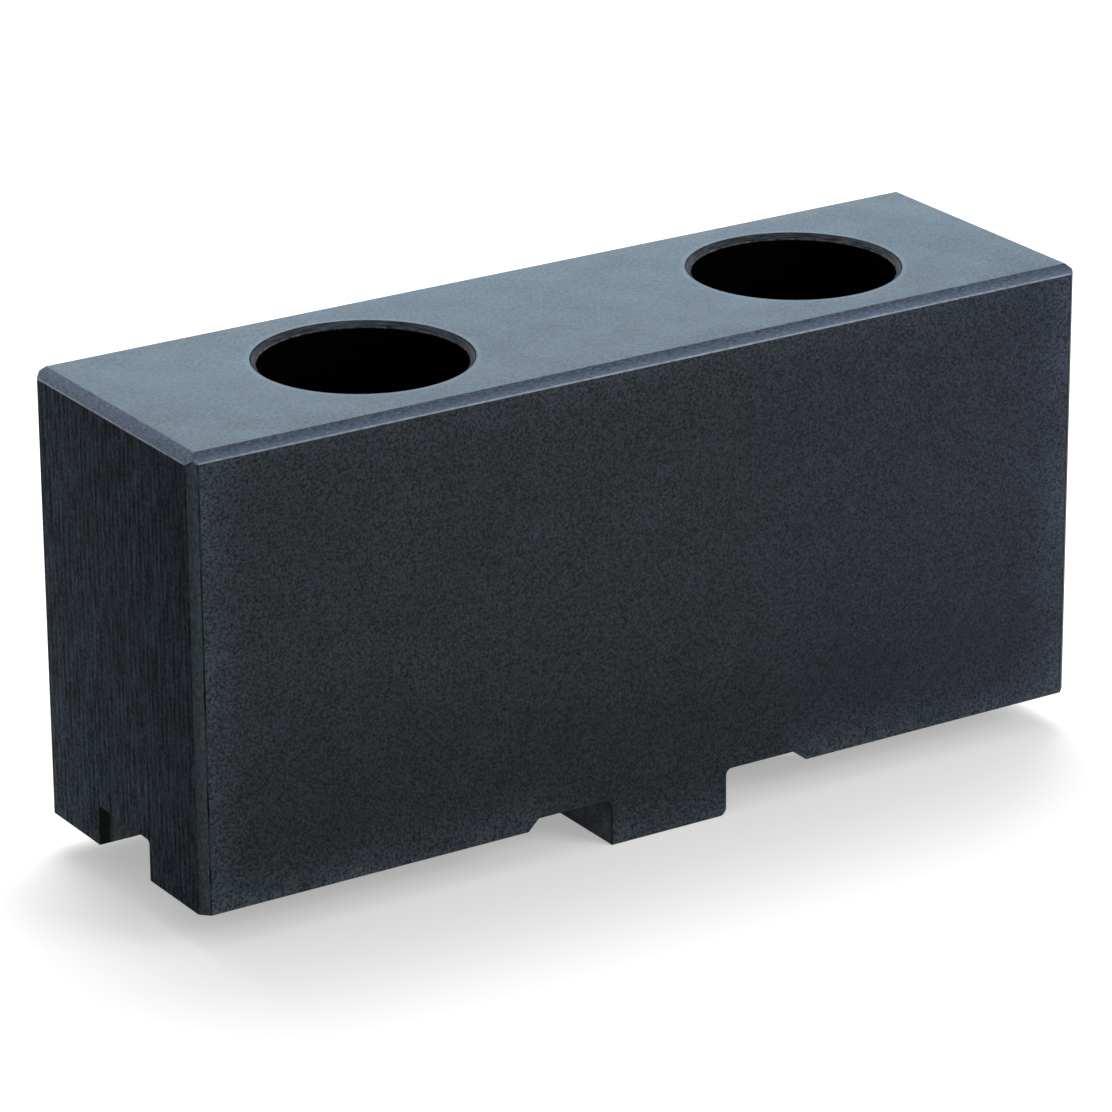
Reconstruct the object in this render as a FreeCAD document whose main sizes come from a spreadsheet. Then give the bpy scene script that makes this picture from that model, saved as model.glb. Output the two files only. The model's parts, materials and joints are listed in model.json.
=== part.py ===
import FreeCAD, Part
import os
import re
import Sketcher

# Machinable soft top jaw of a lathe chuck, in millimetres.
# X runs along the jaw, from the gripping end at -X to the rear end at +X.
# Y runs across the jaw, and Z points away from the base jaw that it is screwed to.
# The origin lies on the seat plane, midway between the two screws.

NODE = "soft_jaw"
SHEET = "Sizes"

SIZES = {
    # the block
    "jaw_width": 38.8,
    "seat_to_top": 58.5,
    "grip_overhang": 35.0,
    "rear_overhang": 30.5,
    "edge_chamfer": 1.15,
    "top_end_chamfer": 1.3,
    # the two screws and the counterbores that sink their heads
    "screw_spacing": 63.5,
    "screw_hole_diameter": 17.5,
    "head_seat_height": 20.0,
    "counterbore_diameter": 26.0,
    "counterbore_chamfer": 0.65,
    # the cross tongue, midway between the screws
    "tongue_width": 17.2,
    "tongue_drop": 4.7,
    "tongue_corner_radius": 1.5,
    "tongue_root_radius": 0.8,
    # the shallow relief on each side of the tongue
    "relief_reach": 12.2,
    "relief_depth": 1.5,
    "relief_slope": 45.0,
    # the lengthwise groove, which runs through the seat and the tongue
    "groove_width": 12.7,
    "groove_depth": 5.3,
    "groove_corner_radius": 0.5,
    # how far the groove's cutter passes below the tongue
    "cutter_overrun": 2.0,
}

GRIP_END = "screw_spacing / 2 + grip_overhang"
REAR_END = "screw_spacing / 2 + rear_overhang"
TONGUE_FLANK = "tongue_width / 2"
RELIEF_END = "tongue_width / 2 + relief_reach"
RELIEF_CREST = "tongue_width / 2 + relief_reach - relief_depth / tan(relief_slope)"
GROOVE_WALL = "groove_width / 2"
GROOVE_CUTTER_FLOOR = "tongue_drop + cutter_overrun"

LINE_START = 1
LINE_END = 2
CIRCLE_CENTRE = 3
ORIGIN_POINT = (-1, 1)
HORIZONTAL_AXIS = -1
VERTICAL_AXIS = -2
SAME_PLACE = 1e-5
SCREW_COUNT = 2


def size_sheet(doc):
    """Gives every driving size a cell of its own, with the size's name as the cell's alias."""
    sheet = doc.addObject("Spreadsheet::Sheet", SHEET)
    for row, (name, value) in enumerate(SIZES.items(), 1):
        sheet.set(f"A{row}", name)
        sheet.set(f"B{row}", str(value))
        sheet.setAlias(f"B{row}", name)
    doc.recompute()


def from_sheet(formula):
    """Turns a formula of size names into an expression that reads them from the sheet."""
    return re.sub(r"[a-z_]+", lambda word: name_in_sheet(word.group()), formula)


def name_in_sheet(word):
    return f"{SHEET}.{word}" if word in SIZES else word


def origin_feature(body, role):
    return next(item for item in body.Origin.OriginFeatures if item.Role == role)


def new_sketch(body, role, name):
    """Starts a sketch on one of the body's own origin planes."""
    sketch = body.newObject("Sketcher::SketchObject", name)
    sketch.AttachmentSupport = [(origin_feature(body, role), "")]
    sketch.MapMode = "FlatFace"
    return sketch


def hold_distance(sketch, kind, point, side, formula, start):
    """Ties a point to its distance from the sketch's origin, on the side that is given."""
    first, second = (ORIGIN_POINT, point) if side > 0 else (point, ORIGIN_POINT)
    index = sketch.addConstraint(Sketcher.Constraint(kind, *first, *second, start))
    sketch.setExpression(f"Constraints[{index}]", from_sheet(formula))


def side_of(corner, positive, negative):
    """Says on which side of the origin a corner lies: 1, -1, or 0 where it is on the axis."""
    return int(positive in corner) - int(negative in corner)


def hold_corner(sketch, line, corner):
    """Ties the start of a line to its place across and along the sketch."""
    point = (line, LINE_START)
    directions = (
        ("DistanceX", "right", "left", VERTICAL_AXIS),
        ("DistanceY", "up", "down", HORIZONTAL_AXIS),
    )
    for kind, positive, negative, axis in directions:
        side = side_of(corner, positive, negative)
        if side == 0:
            sketch.addConstraint(Sketcher.Constraint("PointOnObject", *point, axis))
        else:
            formula = corner[positive if side > 0 else negative]
            hold_distance(sketch, kind, point, side, formula, float(line + 1))


def draw_outline(sketch, *corners):
    """Draws a closed outline of straight lines.

    A corner names its distances right or left of the sketch's origin, and up or down from it. A
    direction that it leaves out puts it on that axis. The corners are first drawn a little apart,
    and the sizes then move them to their places.
    """
    places = []
    for index, corner in enumerate(corners, 1):
        across = side_of(corner, "right", "left") * index
        along = side_of(corner, "up", "down") * index
        places.append(FreeCAD.Vector(across, along, 0))
    for start, end in zip(places, places[1:] + places[:1]):
        sketch.addGeometry(Part.LineSegment(start, end), False)
    for line in range(len(corners)):
        following = (line + 1) % len(corners)
        ends = (line, LINE_END, following, LINE_START)
        sketch.addConstraint(Sketcher.Constraint("Coincident", *ends))
    for line, corner in enumerate(corners):
        hold_corner(sketch, line, corner)


def pad_both_ways(body, sketch, name, width):
    """Pads a side profile across the jaw, half of the width to each side of the middle plane."""
    pad = body.newObject("PartDesign::Pad", name)
    pad.Profile = sketch
    pad.SideType = "Symmetric"
    pad.setExpression("Length", from_sheet(width))
    return pad


def cut_right_through(body, sketch, name):
    """Cuts a profile out of the whole body, on both sides of the sketch's plane."""
    pocket = body.newObject("PartDesign::Pocket", name)
    pocket.Profile = sketch
    pocket.Type = "ThroughAll"
    pocket.SideType = "Symmetric"
    return pocket


def dress_edges(body, kind, name, wanted, property_name, formula):
    """Adds a fillet or a chamfer along those edges of the body's last feature that are wanted."""
    body.Document.recompute()
    base = body.Tip
    edges = [f"Edge{n}" for n, edge in enumerate(base.Shape.Edges, 1) if wanted(edge)]
    if not edges:
        raise RuntimeError(f"{name} finds no edges")
    dressing = body.newObject(f"PartDesign::{kind}", name)
    dressing.Base = (base, edges)
    dressing.setExpression(property_name, from_sheet(formula))


def near(first, second):
    return abs(first - second) < SAME_PLACE


def is_straight(edge):
    return isinstance(edge.Curve, (Part.Line, Part.LineSegment))


def lies_across(edge, x, z):
    """Says whether an edge runs straight across the jaw at a height z, x either way from the middle."""
    box = edge.BoundBox
    return near(box.XLength, 0) and near(box.ZLength, 0) and near(abs(box.XMin), x) and near(box.ZMin, z)


def runs_along(edge, y, z):
    """Says whether an edge runs straight along the jaw at a height z, y either way from the middle."""
    box = edge.BoundBox
    return near(box.YLength, 0) and near(box.ZLength, 0) and near(abs(box.YMin), y) and near(box.ZMin, z)


def is_top_end(edge, top):
    """Says whether an edge is where the top meets an end of the block."""
    return near(edge.BoundBox.ZMin, top) and near(edge.BoundBox.XLength, 0)


def is_upright_corner(edge, side, ends):
    """Says whether an edge stands upright where a long side of the block meets an end."""
    box = edge.BoundBox
    upright = near(box.XLength, 0) and near(box.YLength, 0)
    return upright and near(abs(box.YMin), side) and any(near(box.XMin, end) for end in ends)


def is_rim(edge, top):
    return near(edge.BoundBox.ZMin, top) and not is_straight(edge)


def add_block(body):
    """The plain block, from its seat plane up."""
    sketch = new_sketch(body, "XZ_Plane", "block_profile")
    draw_outline(
        sketch,
        {"left": GRIP_END},
        {"right": REAR_END},
        {"right": REAR_END, "up": "seat_to_top"},
        {"left": GRIP_END, "up": "seat_to_top"},
    )
    pad_both_ways(body, sketch, "block", "jaw_width")


def add_cross_tongue(body):
    """The tongue below the seat, which fills the cross slot of the base jaw."""
    sketch = new_sketch(body, "XZ_Plane", "tongue_profile")
    draw_outline(
        sketch,
        {"left": TONGUE_FLANK, "down": "tongue_drop"},
        {"right": TONGUE_FLANK, "down": "tongue_drop"},
        {"right": TONGUE_FLANK},
        {"left": TONGUE_FLANK},
    )
    pad_both_ways(body, sketch, "cross_tongue", "jaw_width")


def add_relief(body):
    """The shallow recess beside the tongue, with a sloped far end, on both of the tongue's sides."""
    sketch = new_sketch(body, "XZ_Plane", "relief_profile")
    draw_outline(
        sketch,
        {"right": TONGUE_FLANK},
        {"right": TONGUE_FLANK, "up": "relief_depth"},
        {"right": RELIEF_CREST, "up": "relief_depth"},
        {"right": RELIEF_END},
    )
    relief = cut_right_through(body, sketch, "tongue_relief")
    mirrored = body.newObject("PartDesign::Mirrored", "tongue_relief_both_sides")
    mirrored.Originals = [relief]
    mirrored.MirrorPlane = (origin_feature(body, "YZ_Plane"), [""])
    body.Tip = mirrored


def round_tongue(body, sizes):
    """Rounds the tongue's two lower corners, and the roots where it meets the relief."""
    flank = sizes.get("tongue_width") / 2
    tongue_floor = -sizes.get("tongue_drop")
    relief_ceiling = sizes.get("relief_depth")
    dress_edges(
        body,
        "Fillet",
        "tongue_corners",
        lambda edge: lies_across(edge, flank, tongue_floor),
        "Radius",
        "tongue_corner_radius",
    )
    dress_edges(
        body,
        "Fillet",
        "tongue_roots",
        lambda edge: lies_across(edge, flank, relief_ceiling),
        "Radius",
        "tongue_root_radius",
    )


def add_groove(body, sizes):
    """The groove along the whole underside, which slides over the base jaw's lengthwise tongue."""
    sketch = new_sketch(body, "YZ_Plane", "groove_profile")
    draw_outline(
        sketch,
        {"left": GROOVE_WALL, "down": GROOVE_CUTTER_FLOOR},
        {"right": GROOVE_WALL, "down": GROOVE_CUTTER_FLOOR},
        {"right": GROOVE_WALL, "up": "groove_depth"},
        {"left": GROOVE_WALL, "up": "groove_depth"},
    )
    cut_right_through(body, sketch, "lengthwise_groove")
    wall = sizes.get("groove_width") / 2
    ceiling = sizes.get("groove_depth")
    dress_edges(
        body,
        "Fillet",
        "groove_corners",
        lambda edge: runs_along(edge, wall, ceiling),
        "Radius",
        "groove_corner_radius",
    )


def chamfer_block(body, sizes):
    """Chamfers the edges of the top and the four upright corners, which meet in mitres."""
    top = sizes.get("seat_to_top")
    side = sizes.get("jaw_width") / 2
    half_spacing = sizes.get("screw_spacing") / 2
    ends = (-half_spacing - sizes.get("grip_overhang"), half_spacing + sizes.get("rear_overhang"))
    dress_edges(
        body,
        "Chamfer",
        "top_end_chamfers",
        lambda edge: is_top_end(edge, top),
        "Size",
        "top_end_chamfer",
    )
    dress_edges(
        body,
        "Chamfer",
        "top_side_chamfers",
        lambda edge: runs_along(edge, side, top),
        "Size",
        "edge_chamfer",
    )
    dress_edges(
        body,
        "Chamfer",
        "upright_chamfers",
        lambda edge: is_upright_corner(edge, side, ends),
        "Size",
        "edge_chamfer",
    )


def add_screw_holes(body, sizes):
    """A counterbored screw hole from the top down, repeated at the screws' spacing.

    The circle is first drawn anywhere near, and the sizes then move it to its place.
    """
    sketch = new_sketch(body, "XY_Plane", "screw_centre")
    sketch.setExpression(".AttachmentOffset.Base.z", from_sheet("seat_to_top"))
    circle = Part.Circle(FreeCAD.Vector(-1, 0, 0), FreeCAD.Vector(0, 0, 1), 1)
    line = sketch.addGeometry(circle, False)
    centre = (line, CIRCLE_CENTRE)
    sketch.addConstraint(Sketcher.Constraint("PointOnObject", *centre, HORIZONTAL_AXIS))
    hold_distance(sketch, "DistanceX", centre, -1, "screw_spacing / 2", 1.0)
    index = sketch.addConstraint(Sketcher.Constraint("Diameter", line, 2.0))
    sketch.setExpression(f"Constraints[{index}]", from_sheet("screw_hole_diameter"))
    body.Document.recompute()

    hole = body.newObject("PartDesign::Hole", "screw_hole")
    hole.Profile = sketch
    body.Document.recompute()
    hole.DepthType = "ThroughAll"
    hole.DrillPoint = "Flat"
    hole.HoleCutType = "Counterbore"
    hole.HoleCutCustomValues = True
    hole.setExpression("Diameter", from_sheet("screw_hole_diameter"))
    hole.setExpression("HoleCutDiameter", from_sheet("counterbore_diameter"))
    hole.setExpression("HoleCutDepth", from_sheet("seat_to_top - head_seat_height"))

    pair = body.newObject("PartDesign::LinearPattern", "screw_holes")
    pair.Originals = [hole]
    pair.Direction = (origin_feature(body, "X_Axis"), [""])
    pair.setExpression("Length", from_sheet("screw_spacing"))
    pair.Occurrences = SCREW_COUNT
    body.Tip = pair

    top = sizes.get("seat_to_top")
    dress_edges(
        body,
        "Chamfer",
        "counterbore_chamfers",
        lambda edge: is_rim(edge, top),
        "Size",
        "counterbore_chamfer",
    )


def build_jaw(doc):
    sizes = doc.getObject(SHEET)
    body = doc.addObject("PartDesign::Body", NODE)
    body.Label = NODE
    body.Placement = FreeCAD.Placement()
    add_block(body)
    add_cross_tongue(body)
    add_relief(body)
    round_tongue(body, sizes)
    add_groove(body, sizes)
    chamfer_block(body, sizes)
    add_screw_holes(body, sizes)
    doc.recompute()
    return body


def check_model(doc, body):
    """Stops if a feature failed, a sketch is loose, or a cut or a pad did nothing."""
    for item in doc.Objects:
        if "Invalid" in item.State or "Error" in item.State:
            raise RuntimeError(f"{item.Name} failed: {item.State}")
    for item in body.Group:
        if item.isDerivedFrom("Sketcher::SketchObject"):
            if not item.FullyConstrained:
                raise RuntimeError(f"{item.Name} isn't fully constrained")
        elif item.BaseFeature and near(item.Shape.Volume, item.BaseFeature.Shape.Volume):
            raise RuntimeError(f"{item.Name} changes nothing")
    if body.Shape.isNull() or not body.Shape.isValid() or len(body.Shape.Solids) != 1:
        raise RuntimeError(f"{body.Label} isn't one valid solid")


def main():
    doc = FreeCAD.newDocument("machinable_soft_jaw")
    size_sheet(doc)
    body = build_jaw(doc)
    check_model(doc, body)
    os.makedirs("parts", exist_ok=True)
    body.Shape.exportStep(f"parts/{body.Label}.step")
    box = body.Shape.BoundBox
    print(f"{body.Label}: {body.Shape.Volume:.1f} mm3, {box}")


main()
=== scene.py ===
import json
import math

import bpy
from mathutils import Matrix, Vector


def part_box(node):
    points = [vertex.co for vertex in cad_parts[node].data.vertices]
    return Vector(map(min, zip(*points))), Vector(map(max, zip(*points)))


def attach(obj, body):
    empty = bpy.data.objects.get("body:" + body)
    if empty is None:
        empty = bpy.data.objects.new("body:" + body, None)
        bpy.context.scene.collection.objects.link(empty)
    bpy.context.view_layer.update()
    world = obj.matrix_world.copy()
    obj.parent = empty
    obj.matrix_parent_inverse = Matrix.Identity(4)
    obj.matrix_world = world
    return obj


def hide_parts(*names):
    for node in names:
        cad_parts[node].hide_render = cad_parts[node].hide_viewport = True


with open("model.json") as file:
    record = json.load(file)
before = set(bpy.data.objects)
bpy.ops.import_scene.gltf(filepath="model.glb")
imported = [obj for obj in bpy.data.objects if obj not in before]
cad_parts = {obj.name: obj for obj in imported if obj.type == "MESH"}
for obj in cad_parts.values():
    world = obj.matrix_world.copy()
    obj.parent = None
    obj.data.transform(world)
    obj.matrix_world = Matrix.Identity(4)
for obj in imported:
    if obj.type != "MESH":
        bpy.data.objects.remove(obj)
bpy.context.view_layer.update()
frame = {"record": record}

CAD_NODE = "soft_jaw"
MM = 0.001

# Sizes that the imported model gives.
LOW, HIGH = (Vector(corner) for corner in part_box(CAD_NODE))
MOUNTS = {mount["name"]: mount for mount in frame["record"]["mounts"]}
SCREW_SPACING = MOUNTS["screw_holes"]["dims"]["spacing_x_mm"] * MM
SCREW_HOLE_RADIUS = MOUNTS["screw_holes"]["dims"]["hole_r_mm"] * MM
SEAT = MOUNTS["screw_holes"]["pos_m"][2]
COUNTERBORE = MOUNTS["counterbore_grip"]
COUNTERBORE_RADIUS = COUNTERBORE["dims"]["r_mm"] * MM
HEAD_SEAT = COUNTERBORE["pos_m"][2] - COUNTERBORE["dims"]["length_mm"] * MM / 2
COUNTERBORE_RIM = COUNTERBORE["pos_m"][2] + COUNTERBORE["dims"]["length_mm"] * MM / 2
GROOVE_CEILING = MOUNTS["lengthwise_groove"]["pos_m"][2]
TOP = HIGH.z
MIDDLE = (LOW + HIGH) / 2

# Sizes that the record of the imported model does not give.
TONGUE_WIDTH = 17.2 * MM
TONGUE_REAR_RADIUS = 1.0 * MM
TONGUE_ROOT_RADIUS = 0.8 * MM
RELIEF_REACH = 12.2 * MM
RELIEF_DEPTH = 1.5 * MM
GROOVE_WIDTH = 12.7 * MM
GROOVE_CORNER_RADIUS = 0.5 * MM
EDGE_CHAMFER = 1.15 * MM
TOP_END_CHAMFER = 1.3 * MM

# The finest detail of the mesh.
EDGE_BREAK = 0.12 * MM
EDGE_BREAK_STEPS = 2
TONGUE_CORNER_STEPS = 10
TONGUE_ROOT_STEPS = 6
GROOVE_CORNER_STEPS = 4
HOLE_SIDES = 192
SHARP_TURN = math.radians(28)
SMOOTH_TURN = math.radians(20)
FLAT_TURN = math.radians(1)
CUTTER_OVERRUN = 2.0 * MM
NEARLY = 0.01 * MM

# The material slot that marks the faces of the broken edges until they get their finishes.
EDGE_SLOT = 1

# How much of a face's normal lies along an axis, where its finish depends on which way it faces.
SQUARELY = 0.95
MAINLY = 0.75
HALF = 0.5
SLIGHTLY = 0.3
BARELY = 0.1

# Colours of the black oxide from place to place, and of the steel where it is rubbed away.
# Many are lit or shaded copies of the one oxide: a painted sheen lightens the top and its
# chamfers, a painted light the underside, the tongue's flanks and the groove, a painted tint
# makes the sides bluer towards the rear, a painted shade darkens the holes, and a painted glint
# brightens the rubbed edges.
OXIDE_ON_SIDES = (0.0172, 0.0222, 0.0268)
# Bluer towards the rear end: a painted tint of the light there.
OXIDE_TOWARDS_REAR_PAINTED_TINT = (0.0174, 0.0220, 0.0336)
OXIDE_ON_CORNERS = (0.028, 0.036, 0.042)
OXIDE_ON_ENDS = (0.0190, 0.0262, 0.0345)
# The top: the sides' oxide lightened to blue-grey by a painted sheen.
OXIDE_ON_TOP_PAINTED_SHEEN = (0.099, 0.145, 0.186)
# The chamfers: the oxide lightened by a painted sheen.
OXIDE_ON_SIDE_CHAMFERS_PAINTED_SHEEN = (0.070, 0.093, 0.132)
OXIDE_ON_END_CHAMFERS_PAINTED_SHEEN = (0.096, 0.122, 0.168)
OXIDE_ON_RIMS = (0.024, 0.031, 0.040)
# The holes: the oxide darkened almost to black, a painted shade.
OXIDE_IN_HOLES_PAINTED_SHADE = (0.0012, 0.0013, 0.0015)
# Underneath, on the tongue's flanks and in the groove: the oxide lightened by a painted light.
OXIDE_UNDERNEATH_PAINTED_LIGHT = (0.050, 0.061, 0.073)
OXIDE_ON_FLANKS_PAINTED_LIGHT = (0.054, 0.064, 0.080)
OXIDE_IN_GROOVE_PAINTED_LIGHT = (0.092, 0.111, 0.119)
DARK_EDGE_LINE = (0.011, 0.014, 0.017)
# The flares' inner edges: lighter oxide with a painted glint.
RUBBED_OXIDE_AND_GLINT = (0.058, 0.060, 0.066)
# Bright edges: rubbed steel with a painted glint.
RUBBED_STEEL_AND_GLINT = (0.138, 0.160, 0.196)


# ---------------------------------------------------------------- modelling

def select_only(piece):
    bpy.ops.object.select_all(action="DESELECT")
    piece.select_set(True)
    bpy.context.view_layer.objects.active = piece


def start_piece(name):
    """Names the primitive that was just added, and moves its place and scale into its mesh."""
    piece = bpy.context.object
    piece.name = name
    piece.data.name = name
    bpy.ops.object.transform_apply(location=True, rotation=True, scale=True)
    return piece


def add_box(name, low, high):
    bpy.ops.mesh.primitive_cube_add(size=1, location=(low + high) / 2, scale=high - low)
    return start_piece(name)


def edit(piece, mode):
    """Opens a piece in edit mode with nothing selected, ready to pick by VERT, EDGE or FACE."""
    select_only(piece)
    bpy.ops.object.mode_set(mode="EDIT")
    bpy.ops.mesh.select_mode(type=mode)
    bpy.ops.mesh.select_all(action="DESELECT")


def pick(piece, parts, wanted):
    """Selects the mesh parts for which wanted(places of its corners) holds."""
    bpy.ops.object.mode_set(mode="OBJECT")
    corners = piece.data.vertices
    for part in getattr(piece.data, parts):
        places = [part.co] if parts == "vertices" else [corners[i].co for i in part.vertices]
        part.select = wanted(places)
    bpy.ops.object.mode_set(mode="EDIT")


def leave_edit():
    bpy.ops.object.mode_set(mode="OBJECT")


def near(first, second):
    return abs(first - second) < NEARLY


def all_near(places, axis, value):
    return all(near(place[axis], value) for place in places)


def bevel_edges(piece, wanted, radius, steps):
    """Rounds the wanted edges of a piece."""
    edit(piece, "EDGE")
    pick(piece, "edges", wanted)
    bpy.ops.mesh.bevel(offset=radius, offset_type="OFFSET", segments=steps, affect="EDGES")
    leave_edit()


def bisect_all(piece, x):
    """Cuts a piece's faces across at x, so that they can be shaped on each side of it."""
    edit(piece, "FACE")
    bpy.ops.mesh.select_all(action="SELECT")
    bpy.ops.mesh.bisect(plane_co=(x, 0, 0), plane_no=(1, 0, 0))
    leave_edit()


def block_with_tongue():
    """The block, its reliefs and its cross tongue, shaped from one box."""
    jaw = add_box("soft_jaw_finished", Vector((LOW.x, LOW.y, SEAT)), HIGH)
    flank = TONGUE_WIDTH / 2
    relief_end = flank + RELIEF_REACH
    relief_crest = relief_end - RELIEF_DEPTH
    for x in (flank, relief_crest, relief_end):
        bisect_all(jaw, x)
        bisect_all(jaw, -x)

    edit(jaw, "VERT")
    pick(
        jaw,
        "vertices",
        lambda places: all_near(places, 2, SEAT) and abs(places[0].x) < relief_crest + NEARLY,
    )
    bpy.ops.transform.translate(value=(0, 0, RELIEF_DEPTH))
    leave_edit()

    edit(jaw, "FACE")
    relief_ceiling = SEAT + RELIEF_DEPTH
    pick(
        jaw,
        "polygons",
        lambda places: all_near(places, 2, relief_ceiling)
        and all(abs(place.x) < flank + NEARLY for place in places),
    )
    drop = Vector((0, 0, LOW.z - relief_ceiling))
    bpy.ops.mesh.extrude_region_move(TRANSFORM_OT_translate={"value": drop})
    bpy.ops.mesh.select_all(action="SELECT")
    bpy.ops.mesh.dissolve_limited(angle_limit=FLAT_TURN)
    leave_edit()

    def rear_edge(places):
        return all_near(places, 0, flank) and all_near(places, 2, LOW.z)

    def root_edge(places):
        across = all_near(places, 0, flank) or all_near(places, 0, -flank)
        return across and all_near(places, 2, relief_ceiling)

    bevel_edges(jaw, rear_edge, TONGUE_REAR_RADIUS, TONGUE_CORNER_STEPS)
    bevel_edges(jaw, root_edge, TONGUE_ROOT_RADIUS, TONGUE_ROOT_STEPS)
    return jaw


def cut_flat(jaw, place, outward):
    """Slices off what lies beyond a plane through a place, and closes the cut with a flat."""
    edit(jaw, "FACE")
    bpy.ops.mesh.select_all(action="SELECT")
    bpy.ops.mesh.bisect(plane_co=place, plane_no=outward, use_fill=True, clear_outer=True)
    leave_edit()


def chamfer_block(jaw):
    """Chamfers the edges of the top and the four upright corners, which meet in mitres."""
    ends = ((LOW.x, -1), (HIGH.x, 1))
    sides = ((LOW.y, -1), (HIGH.y, 1))
    for end, end_way in ends:
        cut_flat(jaw, (end, 0, TOP - TOP_END_CHAMFER), (end_way, 0, 1))
    for side, side_way in sides:
        cut_flat(jaw, (0, side, TOP - EDGE_CHAMFER), (0, side_way, 1))
        for end, end_way in ends:
            cut_flat(jaw, (end - end_way * EDGE_CHAMFER, side, 0), (end_way, side_way, 0))


def groove_cutter():
    half = GROOVE_WIDTH / 2
    low = Vector((LOW.x - CUTTER_OVERRUN, -half, LOW.z - CUTTER_OVERRUN))
    high = Vector((HIGH.x + CUTTER_OVERRUN, half, GROOVE_CEILING))
    cutter = add_box("groove_cutter", low, high)

    def ceiling_edge(places):
        return all_near(places, 2, GROOVE_CEILING) and near(places[0].y, places[1].y)

    bevel_edges(cutter, ceiling_edge, GROOVE_CORNER_RADIUS, GROOVE_CORNER_STEPS)
    return cutter


def screw_hole_cutter():
    """A stepped cutter on the Z axis: screw hole, counterbore and the flare of its rim."""
    floor = LOW.z - CUTTER_OVERRUN
    bpy.ops.mesh.primitive_cylinder_add(
        vertices=HOLE_SIDES,
        radius=SCREW_HOLE_RADIUS,
        depth=HEAD_SEAT - floor,
        location=(0, 0, (HEAD_SEAT + floor) / 2),
    )
    cutter = start_piece("screw_hole_cutter")
    edit(cutter, "FACE")
    pick(cutter, "polygons", lambda places: all_near(places, 2, HEAD_SEAT))
    flare_top = TOP + CUTTER_OVERRUN
    flare_radius = COUNTERBORE_RADIUS + flare_top - COUNTERBORE_RIM
    steps = (
        (HEAD_SEAT, COUNTERBORE_RADIUS),
        (COUNTERBORE_RIM, COUNTERBORE_RADIUS),
        (flare_top, flare_radius),
    )
    height, radius = HEAD_SEAT, SCREW_HOLE_RADIUS
    for next_height, next_radius in steps:
        rise = (0, 0, next_height - height)
        bpy.ops.mesh.extrude_region_move(TRANSFORM_OT_translate={"value": rise})
        widen = next_radius / radius
        bpy.ops.transform.resize(value=(widen, widen, 1), center_override=(0, 0, next_height))
        height, radius = next_height, next_radius
    leave_edit()
    return cutter


def cut(piece, cutter):
    """Cuts one piece with another, which is then thrown away."""
    modifier = piece.modifiers.new("cut", "BOOLEAN")
    modifier.operation = "DIFFERENCE"
    modifier.solver = "EXACT"
    modifier.object = cutter
    select_only(piece)
    bpy.ops.object.modifier_apply(modifier=modifier.name)
    bpy.data.objects.remove(cutter)


def moved_copy(piece, x):
    """A copy of a piece with a mesh of its own, moved along X in its mesh."""
    twin = piece.copy()
    twin.data = piece.data.copy()
    twin.data.transform(Matrix.Translation((x, 0, 0)))
    bpy.context.scene.collection.objects.link(twin)
    return twin


def break_edges(jaw):
    """Breaks every sharp edge by a hair, as deburring does, and smooths the round surfaces."""
    for name in ("faces", "edges"):
        jaw.data.materials.append(bpy.data.materials.new(name))
    modifier = jaw.modifiers.new("edge_break", "BEVEL")
    modifier.material = EDGE_SLOT
    modifier.width = EDGE_BREAK
    modifier.segments = EDGE_BREAK_STEPS
    modifier.limit_method = "ANGLE"
    modifier.angle_limit = SHARP_TURN
    modifier.use_clamp_overlap = False
    select_only(jaw)
    bpy.ops.object.modifier_apply(modifier=modifier.name)
    bpy.ops.object.shade_smooth_by_angle(angle=SMOOTH_TURN)


def make_jaw():
    jaw = block_with_tongue()
    chamfer_block(jaw)
    cut(jaw, groove_cutter())
    first_cutter = screw_hole_cutter()
    cut(jaw, moved_copy(first_cutter, -SCREW_SPACING / 2))
    cut(jaw, moved_copy(first_cutter, SCREW_SPACING / 2))
    bpy.data.objects.remove(first_cutter)
    break_edges(jaw)
    return jaw


# ---------------------------------------------------------------- finishes

class Value:
    """A value in a node tree. Arithmetic on it adds the Math nodes that work it out."""

    def __init__(self, nodes, socket):
        self.nodes = nodes
        self.socket = socket

    def math(self, operation, *values):
        inputs = dict(enumerate(values))
        return self.nodes.node("ShaderNodeMath", {"operation": operation}, inputs)

    def __add__(self, other):
        return self.math("ADD", self, other)

    def __radd__(self, other):
        return self.math("ADD", other, self)

    def __sub__(self, other):
        return self.math("SUBTRACT", self, other)

    def __rsub__(self, other):
        return self.math("SUBTRACT", other, self)

    def __mul__(self, other):
        return self.math("MULTIPLY", self, other)

    def __rmul__(self, other):
        return self.math("MULTIPLY", other, self)

    def __truediv__(self, other):
        return self.math("DIVIDE", self, other)

    def __pow__(self, other):
        return self.math("POWER", self, other)

    def size(self):
        """The value without its sign."""
        return self.math("ABSOLUTE", self)

    def sine(self):
        return self.math("SINE", self)

    def clamped(self):
        return self.math("MINIMUM", self.clamped_at_least(0.0), 1.0)

    def clamped_at_least(self, least):
        return self.math("MAXIMUM", self, least)


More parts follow.
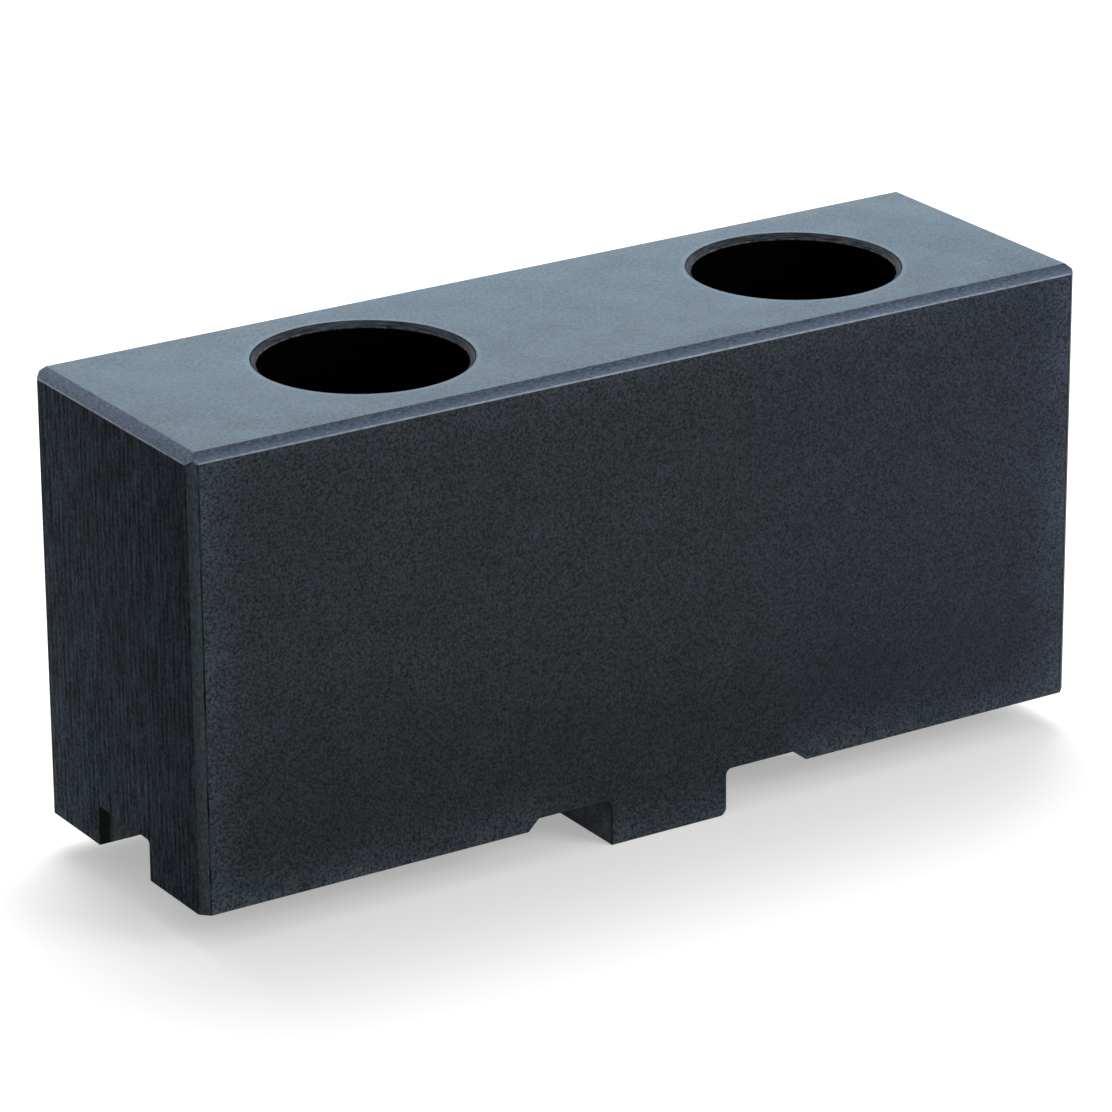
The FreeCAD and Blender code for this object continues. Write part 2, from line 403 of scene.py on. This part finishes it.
class Nodes:
    """The nodes of a material or of the world, and the shader that they end in."""

    def __init__(self, owner, shader_name):
        owner.use_nodes = True
        self.tree = owner.node_tree
        self.shader = self.tree.nodes[shader_name]

    def node(self, kind, settings=None, inputs=None, output=0):
        """Adds any node: its settings are made first, and then its inputs are given or linked."""
        node = self.tree.nodes.new(kind)
        for name, setting in (settings or {}).items():
            setattr(node, name, setting)
        for name, value in (inputs or {}).items():
            self.give(node.inputs[name], value)
        return Value(self, node.outputs[output])

    def give(self, socket, value):
        if isinstance(value, Value):
            self.tree.links.new(value.socket, socket)
        else:
            socket.default_value = value

    def set(self, socket, value):
        self.give(self.shader.inputs[socket], value)

    def mixed(self, colour, other, amount):
        """One colour turned towards another by an amount from 0 to 1."""
        inputs = {"A": (*colour, 1), "B": (*other, 1), "Factor": amount}
        return self.node("ShaderNodeMix", {"data_type": "RGBA"}, inputs, output="Result")

    def seen(self):
        """1 for what the camera sees, by itself or in a glossy surface, and 0 for all else."""
        direct = self.node("ShaderNodeLightPath", output="Is Camera Ray")
        mirrored = self.node("ShaderNodeLightPath", output="Is Glossy Ray")
        return (direct + mirrored).clamped()


class Finish(Nodes):
    """A finish of the jaw or of the floor: a material whose pattern its nodes make."""

    def __init__(self, name, **constants):
        self.material = bpy.data.materials.new(name)
        super().__init__(self.material, "Principled BSDF")
        for socket, constant in constants.items():
            self.shader.inputs[socket.replace("_", " ")].default_value = constant
        self.place = self.node("ShaderNodeTexCoord", output="Object")

    def noise(self, grain_size, stretch=(1, 1, 1), detail=2.0, seed=0.0):
        """Noise about zero. The size of its grains is in metres, and stretch draws them out."""
        scale = tuple(1 / (grain_size * amount) for amount in stretch)
        cloud = self.node(
            "ShaderNodeTexNoise",
            inputs={"Vector": self.spot(scale, seed), "Scale": 1.0, "Detail": detail},
        )
        return cloud - 0.5

    def pits(self, size, spacing, seed=0.0):
        """Round pits: 1 in the middle of each, down to 0 at its rim and between the pits."""
        distance = self.node(
            "ShaderNodeTexVoronoi",
            inputs={"Vector": self.spot((1 / spacing,) * 3, seed), "Scale": 1.0},
        )
        return (1 - distance * (2 * spacing / size)).clamped()

    def spot(self, scale, seed):
        """The place on the piece, scaled for a pattern and moved so that no two patterns agree."""
        return self.node(
            "ShaderNodeMapping",
            inputs={"Vector": self.place, "Location": (seed, seed, seed), "Scale": scale},
        )

    def axis(self, name):
        return self.node("ShaderNodeSeparateXYZ", inputs={0: self.place}, output=name)

    def from_end(self):
        """The distance from the nearer end."""
        return (HIGH.x - LOW.x) / 2 - (self.axis("X") - MIDDLE.x).size()

    def from_screw_axis(self):
        """The distance from the nearer screw's axis."""
        across = self.axis("Y")
        along = self.axis("X").size() - SCREW_SPACING / 2
        return (along * along + across * across) ** 0.5

    def tinted(self, colour, shade):
        """A colour made lighter or darker by a shade about one."""
        inputs = {"Vector": colour, "Scale": shade}
        return self.node("ShaderNodeVectorMath", {"operation": "SCALE"}, inputs)

    def lay_on(self, colour, shade, roughness, relief=None, depth=0.0):
        """Gives the shader its colour, its roughness and a relief of a depth in metres."""
        self.set("Base Color", self.tinted(colour, shade))
        self.set("Roughness", roughness)
        if relief is not None:
            bump = self.node("ShaderNodeBump", inputs={"Height": relief, "Distance": depth})
            self.set("Normal", bump)


def nearness(distance, reach):
    """1 at an edge, fading softly to 0 at a reach from it."""
    left = (1 - distance / reach).clamped()
    return left * left


def band(value, middle, half_width):
    """1 where a value is at the middle of a band, falling to 0 at half a width to each side."""
    return (1 - (value - middle).size() / half_width).clamped()


def milled_side():
    """The long sides: matt black oxide over a fine milled surface, with small dark pits. It is
    lighter along its edges, partly rubbed and partly a painted light, above all along the lower
    edge; darker low down by a painted shade; and bluer towards the rear end by a painted tint."""
    finish = Finish("milled_side", Specular_IOR_Level=0.1)
    grain = finish.noise(0.3 * MM)
    mottle = finish.noise(7 * MM, detail=3.0, seed=3.0)
    pits = finish.pits(0.5 * MM, 2.2 * MM, seed=11.0)
    height = finish.axis("Z")
    beside_tongue = (finish.axis("X").size() - TONGUE_WIDTH / 2) / RELIEF_REACH
    above_edge = height - (1 - beside_tongue.clamped()) * LOW.z
    # Lighter near the edges: partly rubbing, partly a painted light, above all along the lower
    # edge.
    wear_and_painted_light = (
        nearness(finish.from_end(), 10 * MM) * 0.9
        + nearness(TOP - height, 8 * MM) * 0.4
        + nearness(above_edge, 7 * MM) * 1.1
    )
    # Darker low down: a painted shade.
    painted_shading_low_down = band(height, 11 * MM, 16 * MM)
    tone = (1 + wear_and_painted_light * (1 + mottle * 2)) * (1 - painted_shading_low_down * 0.19) + mottle * 0.4
    shade = tone * (1 + grain * 4.4).clamped_at_least(0.1) * (1 - pits * 0.5)
    # Bluer towards the rear end: a painted tint of the light there.
    rearward = ((finish.axis("X") - 8 * MM) / (60 * MM)).clamped()
    colour = finish.mixed(OXIDE_ON_SIDES, OXIDE_TOWARDS_REAR_PAINTED_TINT, rearward)
    roughness = 0.6 + grain * 0.3 - wear_and_painted_light * 0.1
    finish.lay_on(colour, shade, roughness, relief=grain - pits, depth=0.03 * MM)
    return finish.material


def corner_flat():
    """The chamfers of the upright corners: the same oxide, lighter beside the long sides."""
    finish = Finish("corner_flat", Specular_IOR_Level=0.1)
    grain = finish.noise(0.3 * MM, stretch=(1, 1, 2), seed=16.0)
    from_side = (HIGH.y - finish.axis("Y").size()) / EDGE_CHAMFER
    shade = (1.3 - from_side * 0.55) * (1 + grain * 2.4)
    finish.lay_on(OXIDE_ON_CORNERS, shade, 0.6 + grain * 0.3, relief=grain, depth=0.02 * MM)
    return finish.material


def sawn_end():
    """The ends: black oxide over short upright saw lines, darker beside the front long side by a
    painted shade, and lighter low down by a painted light."""
    finish = Finish("sawn_end", Specular_IOR_Level=0.015)
    grain = finish.noise(0.36 * MM, seed=10.0)
    lines = finish.noise(0.5 * MM, stretch=(1, 1, 6), seed=1.0)
    sway = finish.noise(2.5 * MM, stretch=(1, 1, 8), seed=9.0)
    tooth_spacing = 1.07 * MM
    teeth = (finish.axis("Y") * (2 * math.pi / tooth_spacing) + sway * 4).sine()
    mottle = finish.noise(9 * MM, detail=3.0, seed=5.0)
    # Darker towards the front long side: a painted shade.
    across = (finish.axis("Y") / HIGH.y).clamped_at_least(-1.0)
    # Lighter low down: a painted light.
    painted_shading_low_down = ((26 * MM - finish.axis("Z")) / (16 * MM)).clamped()
    tone = 0.8 + across * 0.18 + painted_shading_low_down * (0.2 + across * 0.1) + mottle * 0.6
    shade = tone * (1 + grain * 3.3 + lines * 3.6 + teeth * 0.24).clamped_at_least(0.1)
    relief = lines + teeth * 0.2
    finish.lay_on(OXIDE_ON_ENDS, shade, 0.62 + lines * 0.3, relief=relief, depth=0.04 * MM)
    return finish.material


def ground_top():
    """The top: a fine ground face in the sides' oxide, lightened to blue-grey by a painted sheen
    and towards the back long side by a painted light, with a lighter lip at each counterbore."""
    finish = Finish("ground_top", Specular_IOR_Level=0.12)
    grain = finish.noise(0.4 * MM, seed=2.0)
    mottle = finish.noise(6 * MM, detail=4.0, seed=7.0)
    lip = band(finish.from_screw_axis(), COUNTERBORE_RADIUS + 1.1 * MM, 0.5 * MM)
    # Lighter towards the back long side: a painted light.
    across = finish.axis("Y") / HIGH.y
    shade = 1 + across * 0.09 + grain * 1.4 + mottle * 0.45 + lip * 0.26
    finish.lay_on(OXIDE_ON_TOP_PAINTED_SHEEN, shade, 0.5 + grain * 0.25, relief=grain, depth=0.012 * MM)
    return finish.material


def chamfered_side_edge():
    """The long chamfers of the top: the oxide lightened by a painted sheen, which grows towards
    their lower edge.
    """
    finish = Finish("chamfered_side_edge", Specular_IOR_Level=0.06)
    down = (TOP - finish.axis("Z")) / EDGE_CHAMFER
    lines = finish.noise(0.2 * MM, stretch=(3, 1, 1), detail=1.5, seed=4.0)
    # A painted sheen that grows towards the lower edge.
    shade = 0.70 + down * down * 1.05 + lines * 1.7
    finish.lay_on(OXIDE_ON_SIDE_CHAMFERS_PAINTED_SHEEN, shade, 0.5 + lines * 0.3, relief=lines, depth=0.02 * MM)
    return finish.material


def chamfered_end_edge():
    """The short chamfers of the top: the oxide lightened more evenly by a painted sheen."""
    finish = Finish("chamfered_end_edge", Specular_IOR_Level=0.06)
    lines = finish.noise(0.2 * MM, stretch=(1, 3, 1), detail=1.5, seed=18.0)
    shade = 1 + lines * 1.8
    finish.lay_on(OXIDE_ON_END_CHAMFERS_PAINTED_SHEEN, shade, 0.5 + lines * 0.3, relief=lines, depth=0.02 * MM)
    return finish.material


def rubbed_edge():
    """The sharp lower edges of the top chamfers, rubbed through to bright steel and brightened
    further by a painted glint.
    """
    finish = Finish("rubbed_edge", Metallic=0.4)
    wear_and_painted_light = finish.noise(1.2 * MM, detail=3.0, seed=12.0)
    finish.lay_on(RUBBED_STEEL_AND_GLINT, 1 + wear_and_painted_light * 2, 0.45 + wear_and_painted_light * 0.3)
    return finish.material


def dark_edge():
    """The edges beside the long sides and round the rims, drawn as thin dark lines."""
    finish = Finish("dark_edge", Specular_IOR_Level=0.05)
    wear_and_painted_light = finish.noise(1.2 * MM, stretch=(1, 1, 3), detail=3.0, seed=13.0)
    shade = (1 + wear_and_painted_light * 6).clamped_at_least(0.15)
    finish.lay_on(DARK_EDGE_LINE, shade, 0.7)
    return finish.material


def turned_rim():
    """The flares of the counterbores: dark oxide over fine, broken turned rings."""
    finish = Finish("turned_rim", Specular_IOR_Level=0.08)
    rings = finish.noise(0.1 * MM, stretch=(22, 22, 1), seed=14.0)
    patches = finish.noise(5 * MM, detail=1.0, seed=19.0)
    shade = (1 + rings * 5 + patches * 1.5).clamped_at_least(0.1)
    finish.lay_on(OXIDE_ON_RIMS, shade, 0.36 + rings * 0.4, relief=rings, depth=0.03 * MM)
    return finish.material


def rubbed_rim():
    """The inner edges of the flares: a painted glint where they catch the light, rubbed lighter in
    places.
    """
    finish = Finish("rubbed_rim", Specular_IOR_Level=0.1)
    wear_and_painted_light = finish.noise(1.0 * MM, seed=20.0)
    shade = (1 + wear_and_painted_light * 5).clamped_at_least(0.15)
    finish.lay_on(RUBBED_OXIDE_AND_GLINT, shade, 0.45 + wear_and_painted_light * 0.3)
    return finish.material


def bored_wall():
    """The counterbores and screw holes: turned rings on oxide darkened almost to black by a
    painted shade.
    """
    finish = Finish("bored_wall", Specular_IOR_Level=0.0)
    rings = finish.noise(0.4 * MM, stretch=(100, 100, 1), seed=6.0)
    finish.lay_on(OXIDE_IN_HOLES_PAINTED_SHADE, 1 + rings * 2, 0.8)
    return finish.material


def machined_underside():
    """The seat, the reliefs and the tongue's foot: the oxide lightened by a painted light, over
    lines of the cutter.
    """
    finish = Finish("machined_underside", Specular_IOR_Level=0.1)
    lines = finish.noise(0.28 * MM, stretch=(1, 12, 1), detail=1.5, seed=8.0)
    mottle = finish.noise(6 * MM, detail=3.0, seed=15.0)
    shade = 1 + lines * 1.6 + mottle * 0.4
    finish.lay_on(OXIDE_UNDERNEATH_PAINTED_LIGHT, shade, 0.6 + lines * 0.3, relief=lines, depth=0.02 * MM)
    return finish.material


def tongue_flank():
    """The tongue's flanks: patchy oxide lightened by a painted light, with a painted shadow in the
    roots and a painted shade along the long sides.
    """
    finish = Finish("tongue_flank", Specular_IOR_Level=0.1)
    grain = finish.noise(0.25 * MM, stretch=(1, 2, 1), seed=21.0)
    patches = finish.noise(2 * MM, seed=22.0)
    # Darker towards the roots: a painted shadow under the relief ceiling.
    root = ((finish.axis("Z") + 1.0 * MM) / (1.5 * MM)).clamped()
    # Darker along the long sides: a painted shade.
    border = nearness(HIGH.y - finish.axis("Y").size(), 2.0 * MM)
    shade = (1 + grain * 3 + patches * 2).clamped_at_least(0.15)
    shade = shade * (1 - root * 0.75) * (1 - border * 0.8)
    finish.lay_on(OXIDE_ON_FLANKS_PAINTED_LIGHT, shade, 0.6 + grain * 0.3, relief=grain, depth=0.03 * MM)
    return finish.material


def milled_groove():
    """The lengthwise groove: patchy oxide lightened by a painted light, over lines along the cut,
    and darkened at each mouth by a painted shadow.
    """
    finish = Finish("milled_groove", Specular_IOR_Level=0.1)
    lines = finish.noise(0.28 * MM, stretch=(12, 1, 1), detail=1.5, seed=17.0)
    patches = finish.noise(0.9 * MM, seed=23.0)
    # Darker near each mouth: a painted shadow.
    mouth = ((2.1 * MM - finish.from_end()) / (0.8 * MM)).clamped()
    shade = (1 + lines + patches * 2).clamped_at_least(0.1) * (1 - mouth * 0.95)
    finish.lay_on(OXIDE_IN_GROOVE_PAINTED_LIGHT, shade, 0.6 + lines * 0.3, relief=lines, depth=0.02 * MM)
    return finish.material


def from_hole(face):
    """How far the middle of a face is from the nearer screw's axis."""
    return math.hypot(abs(face.center.x) - SCREW_SPACING / 2, face.center.y)


def edge_finish_of(face):
    """Says which finish a broken edge has."""
    y, z = face.center.y, face.center.z
    flare_radius = COUNTERBORE_RADIUS + TOP - COUNTERBORE_RIM
    if from_hole(face) < COUNTERBORE_RADIUS + EDGE_BREAK and z > HEAD_SEAT + EDGE_BREAK:
        return "rubbed_rim"
    if from_hole(face) < flare_radius + EDGE_BREAK and z > COUNTERBORE_RIM:
        return "dark_edge"
    if TOP - TOP_END_CHAMFER - EDGE_BREAK < z < TOP - EDGE_CHAMFER + EDGE_BREAK:
        return "rubbed_edge"
    if abs(face.normal.z) < BARELY and abs(y) > HIGH.y - EDGE_BREAK:
        return "dark_edge"
    return finish_of(face)


def finish_of(face):
    """Says which finish a face of the jaw has, from where it lies and which way it faces."""
    x, y, z = face.center
    upright = abs(face.normal.z) < HALF
    at_end = x < LOW.x + EDGE_BREAK or x > HIGH.x - EDGE_BREAK
    if from_hole(face) < COUNTERBORE_RADIUS + NEARLY and z > GROOVE_CEILING - EDGE_BREAK:
        return "bored_wall"
    if face.normal.z > SQUARELY and z > TOP - EDGE_BREAK:
        return "ground_top"
    if z > COUNTERBORE_RIM - EDGE_BREAK and from_hole(face) < HIGH.y - TOP_END_CHAMFER * 2:
        return "turned_rim"
    if z > TOP - TOP_END_CHAMFER and face.normal.z > BARELY:
        faces_end = abs(face.normal.x) > abs(face.normal.y)
        return "chamfered_end_edge" if faces_end else "chamfered_side_edge"
    if upright and at_end and abs(face.normal.x) > MAINLY:
        return "sawn_end"
    if upright and abs(y) > HIGH.y - EDGE_CHAMFER:
        return "milled_side" if abs(face.normal.x) < SLIGHTLY else "corner_flat"
    if abs(y) < GROOVE_WIDTH / 2 + EDGE_BREAK and z < GROOVE_CEILING + NEARLY:
        return "milled_groove"
    flank = TONGUE_WIDTH / 2
    if flank - EDGE_BREAK < abs(x) < flank + TONGUE_ROOT_RADIUS and abs(face.normal.x) > BARELY:
        return "tongue_flank"
    return "machined_underside"


def dress_jaw(jaw):
    """Gives each face its finish. The broken edges are the faces of the slot that made them."""
    makers = (
        milled_side,
        sawn_end,
        ground_top,
        chamfered_side_edge,
        chamfered_end_edge,
        rubbed_edge,
        dark_edge,
        turned_rim,
        rubbed_rim,
        bored_wall,
        machined_underside,
        corner_flat,
        tongue_flank,
        milled_groove,
    )
    slots = {}
    edge_faces = [face for face in jaw.data.polygons if face.material_index == EDGE_SLOT]
    jaw.data.materials.clear()
    for maker in makers:
        slots[maker.__name__] = len(jaw.data.materials)
        jaw.data.materials.append(maker())
    for face in jaw.data.polygons:
        face.material_index = slots[finish_of(face)]
    for face in edge_faces:
        face.material_index = slots[edge_finish_of(face)]


# ---------------------------------------------------------------- stage, light and camera

VIEW_AZIMUTH = math.radians(-32.512)
VIEW_ELEVATION = math.radians(21.002)
VIEW_ROLL = math.radians(-0.395)
VIEW_DISTANCE = 0.7229
VIEW_AIM = MIDDLE + Vector((-1.97, 0, -0.15)) * MM
LENS = 186.46
SENSOR = 36.0

WHITE = (1.0, 1.0, 1.0)
WORLD_GREY = (0.5, 0.5, 0.5)
FLOOR_GREY = (0.8, 0.8, 0.8)
FLOOR_GLOW = 0.35
FLOOR_RADIUS = 4.0
FLOOR_SIDES = 96


def set_camera():
    """A long lens from the front left and a little above, turned a hair about its own axis."""
    back = Vector((
        math.sin(VIEW_AZIMUTH) * math.cos(VIEW_ELEVATION),
        -math.cos(VIEW_AZIMUTH) * math.cos(VIEW_ELEVATION),
        math.sin(VIEW_ELEVATION),
    ))
    level_right = Vector((math.cos(VIEW_AZIMUTH), math.sin(VIEW_AZIMUTH), 0))
    right = Matrix.Rotation(VIEW_ROLL, 3, back) @ level_right
    up = back.cross(right)
    camera = bpy.data.objects.new("camera", bpy.data.cameras.new("camera"))
    camera.data.lens = LENS
    camera.data.sensor_width = SENSOR
    camera.data.clip_start = 0.01
    camera.data.clip_end = 20
    turn = Matrix((right, up, back)).transposed().to_4x4()
    camera.matrix_world = Matrix.Translation(VIEW_AIM + back * VIEW_DISTANCE) @ turn
    bpy.context.scene.collection.objects.link(camera)
    bpy.context.scene.camera = camera


def softbox(name, place, size, power):
    """A square lamp that faces the jaw, in metres and watts."""
    light = bpy.data.lights.new(name, "AREA")
    light.shape = "SQUARE"
    light.size = size
    light.energy = power
    lamp = bpy.data.objects.new(name, light)
    lamp.location = place
    away = Vector(place) - MIDDLE
    lamp.rotation_euler = away.to_track_quat("Z", "Y").to_euler()
    bpy.context.scene.collection.objects.link(lamp)


def set_light():
    """Two soft lamps, and a world that lights the jaw plainly and looks white."""
    softbox("overhead_softbox", place=(0.15, 0.3, 0.62), size=0.5, power=4.2)
    softbox("front_softbox", place=(0.4, -0.6, 0.35), size=0.4, power=2.2)
    world = bpy.data.worlds.new("studio")
    bpy.context.scene.world = world
    studio = Nodes(world, "Background")
    studio.set("Color", studio.mixed(WORLD_GREY, WHITE, studio.seen()))


def set_floor():
    """A pale floor under the tongue's foot. It takes the shadow and looks white elsewhere."""
    bpy.ops.mesh.primitive_circle_add(
        vertices=FLOOR_SIDES, radius=FLOOR_RADIUS, fill_type="NGON", location=(0, 0, LOW.z)
    )
    floor = start_piece("floor")
    finish = Finish(
        "floor",
        Base_Color=(*FLOOR_GREY, 1),
        Roughness=0.9,
        Specular_IOR_Level=0.0,
        Emission_Strength=1.0,
    )
    finish.set("Emission Color", finish.tinted(WHITE, finish.seen() * FLOOR_GLOW))
    floor.data.materials.append(finish.material)


def main():
    set_camera()
    set_light()
    set_floor()
    jaw = make_jaw()
    dress_jaw(jaw)
    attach(jaw, "root")
    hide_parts(CAD_NODE)
    bpy.context.scene.view_settings.view_transform = "Standard"


main()
